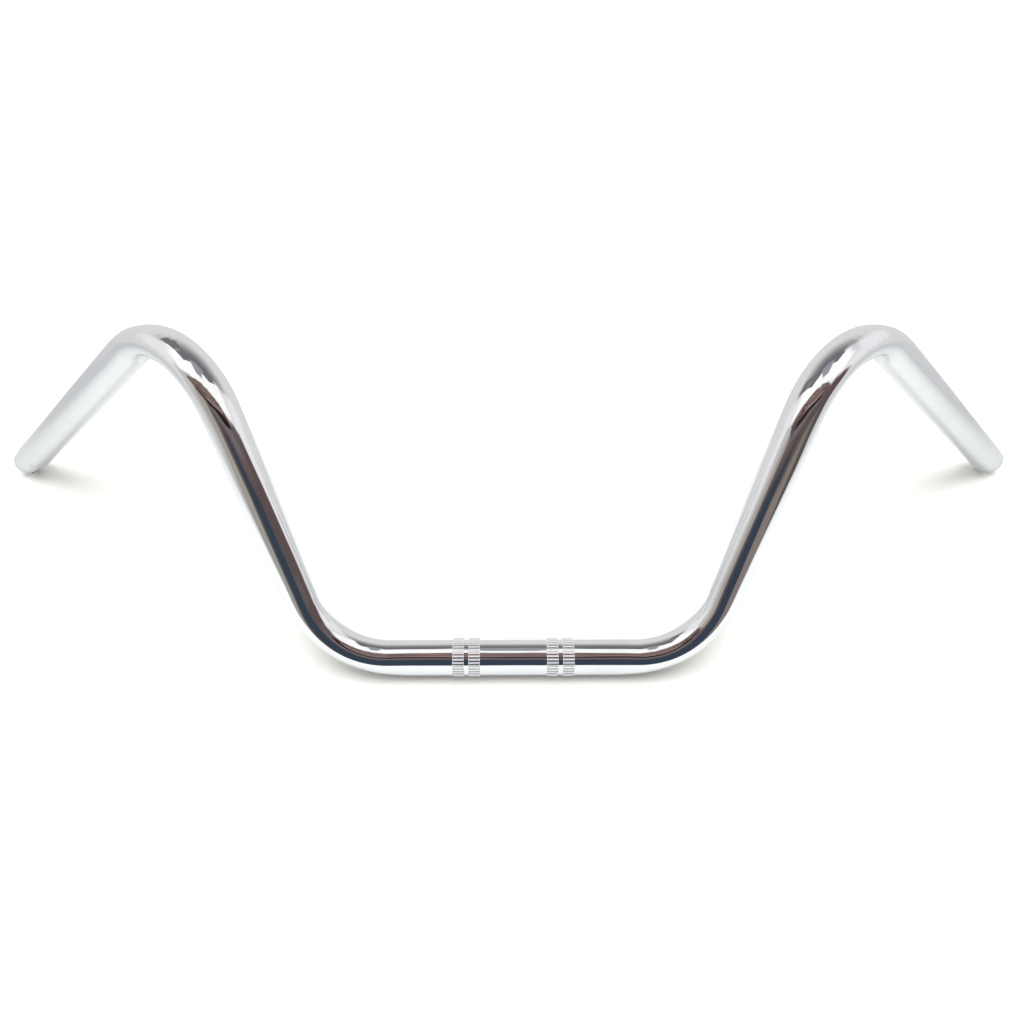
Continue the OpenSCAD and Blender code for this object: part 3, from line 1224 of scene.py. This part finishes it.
def falloff_material():
    """What the paper shows in the chrome: clear near the bar, and greyer towards the walls."""
    material, p = new_material("paper_falloff_shade")
    material.node_tree.nodes.clear()
    spot = p.node("ShaderNodeTexCoord").outputs["Object"]
    from_middle = p.vector("SUBTRACT", spot, (0, DOME_CENTRE[1], 0))
    parts = p.node("ShaderNodeSeparateXYZ", {"Vector": from_middle}).outputs
    share = p.smooth_step(p.distance(parts[0], parts[1]), FALLOFF_BEGIN, FALLOFF_END)
    clear = p.node("ShaderNodeBsdfTransparent").outputs[0]
    grey = p.node("ShaderNodeEmission", {"Color": FALLOFF_COLOUR}).outputs[0]
    mix = p.node("ShaderNodeMixShader", {0: share, 1: clear, 2: grey})
    p.node("ShaderNodeOutputMaterial", {"Surface": mix.outputs[0]})
    return material


def overhead_light(toward_front, width, strength):
    """Even light from a wide source overhead, which mirrors don't show.

    It is leaned to the front by an angle and has a width, both in degrees.
    """
    lamp = bpy.data.lights.new("overhead_light", "SUN")
    lamp.angle = math.radians(width)
    lamp.energy = strength
    holder = bpy.data.objects.new("overhead_light", lamp)
    holder.matrix_world = Matrix.Rotation(math.radians(toward_front), 4, "X")
    holder.visible_glossy = False
    bpy.context.scene.collection.objects.link(holder)


# The light of the room from all round, and its strength.
ROOM_COLOUR = (1.0, 0.995, 0.985, 1)
ROOM_STRENGTH = 0.60


def white_room():
    """Even light from all round the bar. The camera sees plain white paper instead."""
    world = bpy.data.worlds.new("room")
    bpy.context.scene.world = world
    world.use_nodes = True
    world.node_tree.nodes.clear()
    p = Painter(world.node_tree)
    seen = p.node("ShaderNodeLightPath").outputs["Is Camera Ray"]
    room = p.node("ShaderNodeBackground", {"Color": ROOM_COLOUR, "Strength": ROOM_STRENGTH})
    paper = p.node("ShaderNodeBackground", {"Color": (1, 1, 1, 1)})
    mix = p.node("ShaderNodeMixShader", {0: seen, 1: room.outputs[0], 2: paper.outputs[0]})
    p.node("ShaderNodeOutputWorld", {"Surface": mix.outputs[0]})


# How far the floor and the falloff reach from the origin, and how high what only mirrors show
# lies above the floor.
FLOOR_REACH = 12.0
FALLOFF_REACH = 0.95
MIRRORED_LEVEL = FLOOR_LEVEL + 0.5 * MM

# The dark edge of the desk before the bar: its near and its far side, and how far each reaches.
DESK_NEAR, DESK_NEAR_REACH = -0.9, 0.36
DESK_FAR, DESK_FAR_REACH = -0.44, 0.24


def square_corners(reach, level):
    return [
        (-reach, -reach, level),
        (reach, -reach, level),
        (reach, reach, level),
        (-reach, reach, level),
    ]


def make_studio():
    """The paper under the bar, what its chrome mirrors, and the light."""
    plane(
        "floor",
        square_corners(FLOOR_REACH, FLOOR_LEVEL),
        paper_material(
            "pale_floor",
            colour=(0.985, 0.985, 0.98, 1),
            seen_colour=(1.41, 1.39, 1.345, 1),
            mirrored_colour=(1.09, 1.11, 1.10, 1),
            shade_colour=(0.25, 0.25, 0.24, 1),
        ),
    )
    bpy.ops.mesh.primitive_uv_sphere_add(
        segments=96, ring_count=48, radius=DOME_RADIUS, location=DOME_CENTRE
    )
    dome = bpy.context.object
    dome.name = "studio_dome"
    dome.data.materials.append(surroundings_material())
    seen_in_mirrors_only(dome)
    desk = plane(
        "desk_edge",
        [
            (-DESK_NEAR_REACH, DESK_NEAR, MIRRORED_LEVEL),
            (DESK_NEAR_REACH, DESK_NEAR, MIRRORED_LEVEL),
            (DESK_FAR_REACH, DESK_FAR, MIRRORED_LEVEL),
            (-DESK_FAR_REACH, DESK_FAR, MIRRORED_LEVEL),
        ],
        glow_material("desk_edge_shade", (0.10, 0.12, 0.15, 1)),
    )
    seen_in_mirrors_only(desk)
    falloff = plane(
        "paper_falloff", square_corners(FALLOFF_REACH, MIRRORED_LEVEL), falloff_material()
    )
    seen_in_mirrors_only(falloff)
    overhead_light(toward_front=6, width=40, strength=1.26)
    white_room()


set_camera()
finish = Finish()
for piece in make_bar(bright_chrome("bright_chrome", finish), knurl_chrome("knurl_chrome", finish)):
    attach(piece, "root")
    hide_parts("handlebar")
make_studio()

bpy.context.view_layer.update()
